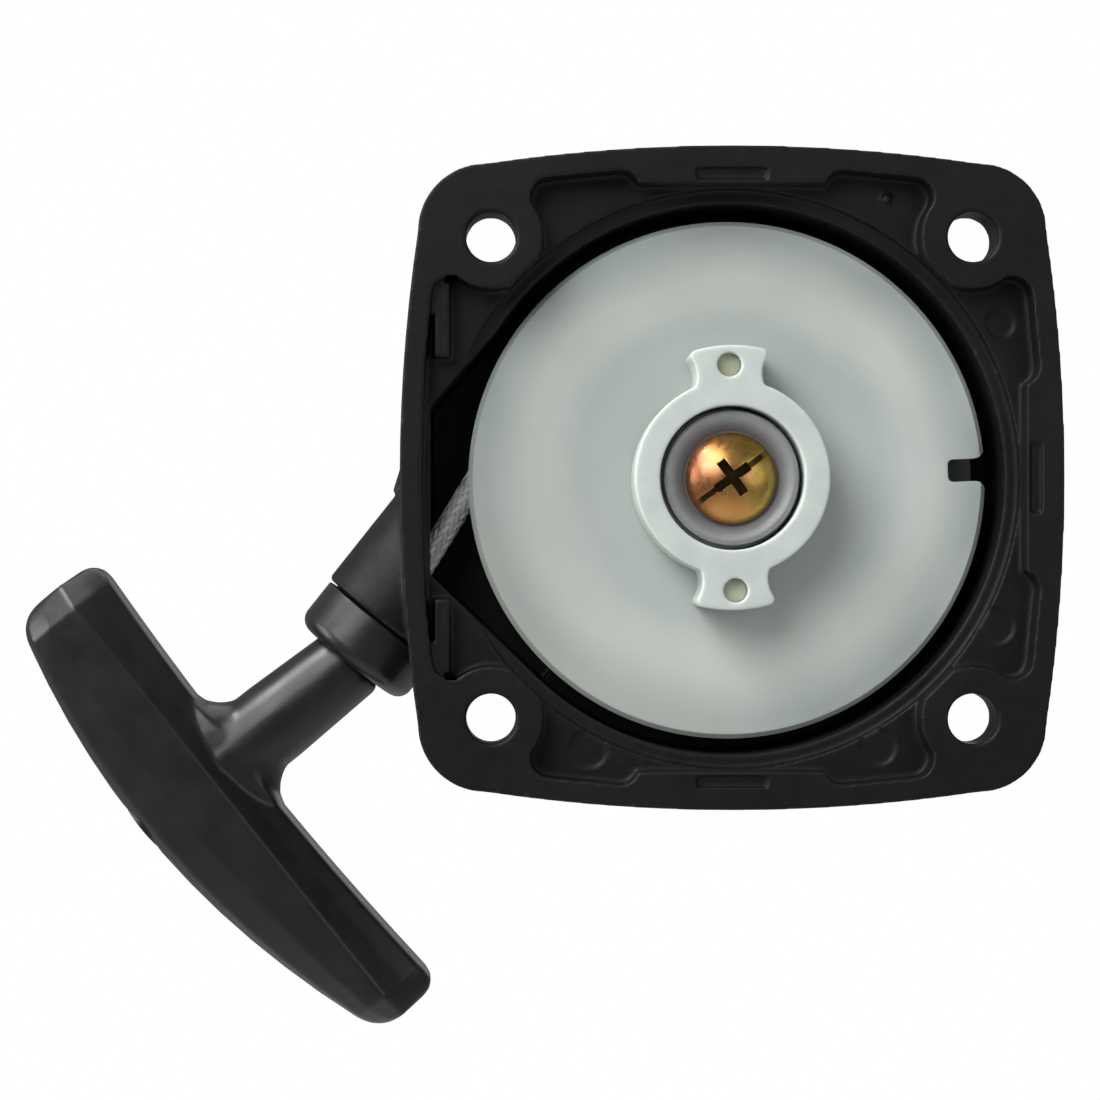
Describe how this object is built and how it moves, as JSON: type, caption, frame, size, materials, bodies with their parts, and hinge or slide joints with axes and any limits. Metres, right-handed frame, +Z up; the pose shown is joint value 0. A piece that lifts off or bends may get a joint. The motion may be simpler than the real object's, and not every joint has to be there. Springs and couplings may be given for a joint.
{
  "type": "recoil starter",
  "caption": "Pull-rope recoil starter with a square flange, a rope reel with a two-lug drive claw, and a T handle on a side outlet.",
  "frame": {"origin": "centre of the four-bolt pattern, on the reel axis, in the mounting face", "axes": "-Y out of the mounting face towards the engine, along the reel axis; +Z up and +X right as seen from the engine, with the rope outlet on the -X side"},
  "size_m": [0.1093, 0.0256, 0.0924],
  "materials": {
    "black_nylon": "fine spark-eroded texture, low sheen",
    "black_handle": "smooth semi-gloss moulding with fine scuffs",
    "natural_nylon": "slightly translucent grey-white nylon",
    "white_nylon": "satin greenish-white nylon",
    "aged_nylon": "yellowed nylon dowels",
    "grey_plastic": "satin grey moulded washer",
    "zinc_screw": "iridescent yellow zinc plate",
    "zinc_steel": "bright zinc plate",
    "spring_steel": "blued spring strip",
    "steel": "polished steel",
    "brass": "turned brass",
    "sintered_bronze": "sintered bronze, oil-soaked",
    "rope": "light grey nylon strands with a dark grey tracer"
  },
  "bodies": {
    "case": {"housing": "black_nylon", "outlet_collar": "black_nylon", "rope_eyelet": "steel", "post_insert": "brass", "spring_cassette": "zinc_steel", "spring_cover": "zinc_steel", "recoil_spring": "spring_steel", "retaining_washer": "grey_plastic", "retaining_screw": "zinc_screw", "rope_run": "rope"},
    "reel": {"rope_reel": "natural_nylon", "reel_bush": "sintered_bronze", "drive_claw": "white_nylon", "claw_pins": "aged_nylon", "rope_winding": "rope", "reel_knot": "rope"},
    "rope_end": {"handle_knot": "rope", "knot_washer": "zinc_steel"},
    "handle": {"handle_grip": "black_handle", "handle_cap": "black_handle"}
  },
  "joints": [
    {"name": "reel_spin", "type": "hinge", "parent": "case", "child": "reel", "pos_m": [0, 0, 0], "axis": [0, -1, 0], "range_deg": [0, 1980], "stiffness_Nm_per_rad": 0.0077, "springref_deg": -762.03, "deforming": ["recoil_spring"]},
    {"name": "handle_pull", "type": "slide", "parent": "case", "child": "rope_end", "axis": [-0.7826, 0, -0.6225], "range_m": [0, 0.71], "deforming": ["rope_run"]},
    {"name": "handle_swivel", "type": "hinge", "parent": "rope_end", "child": "handle", "pos_m": [-0.04015, 0.0102, -0.01936], "axis": [-0.7826, 0, -0.6225], "continuous": true}
  ],
  "couplings": [
    {"joint": "handle_pull", "follows": "reel_spin", "m_per_rad": 0.0205}
  ]
}
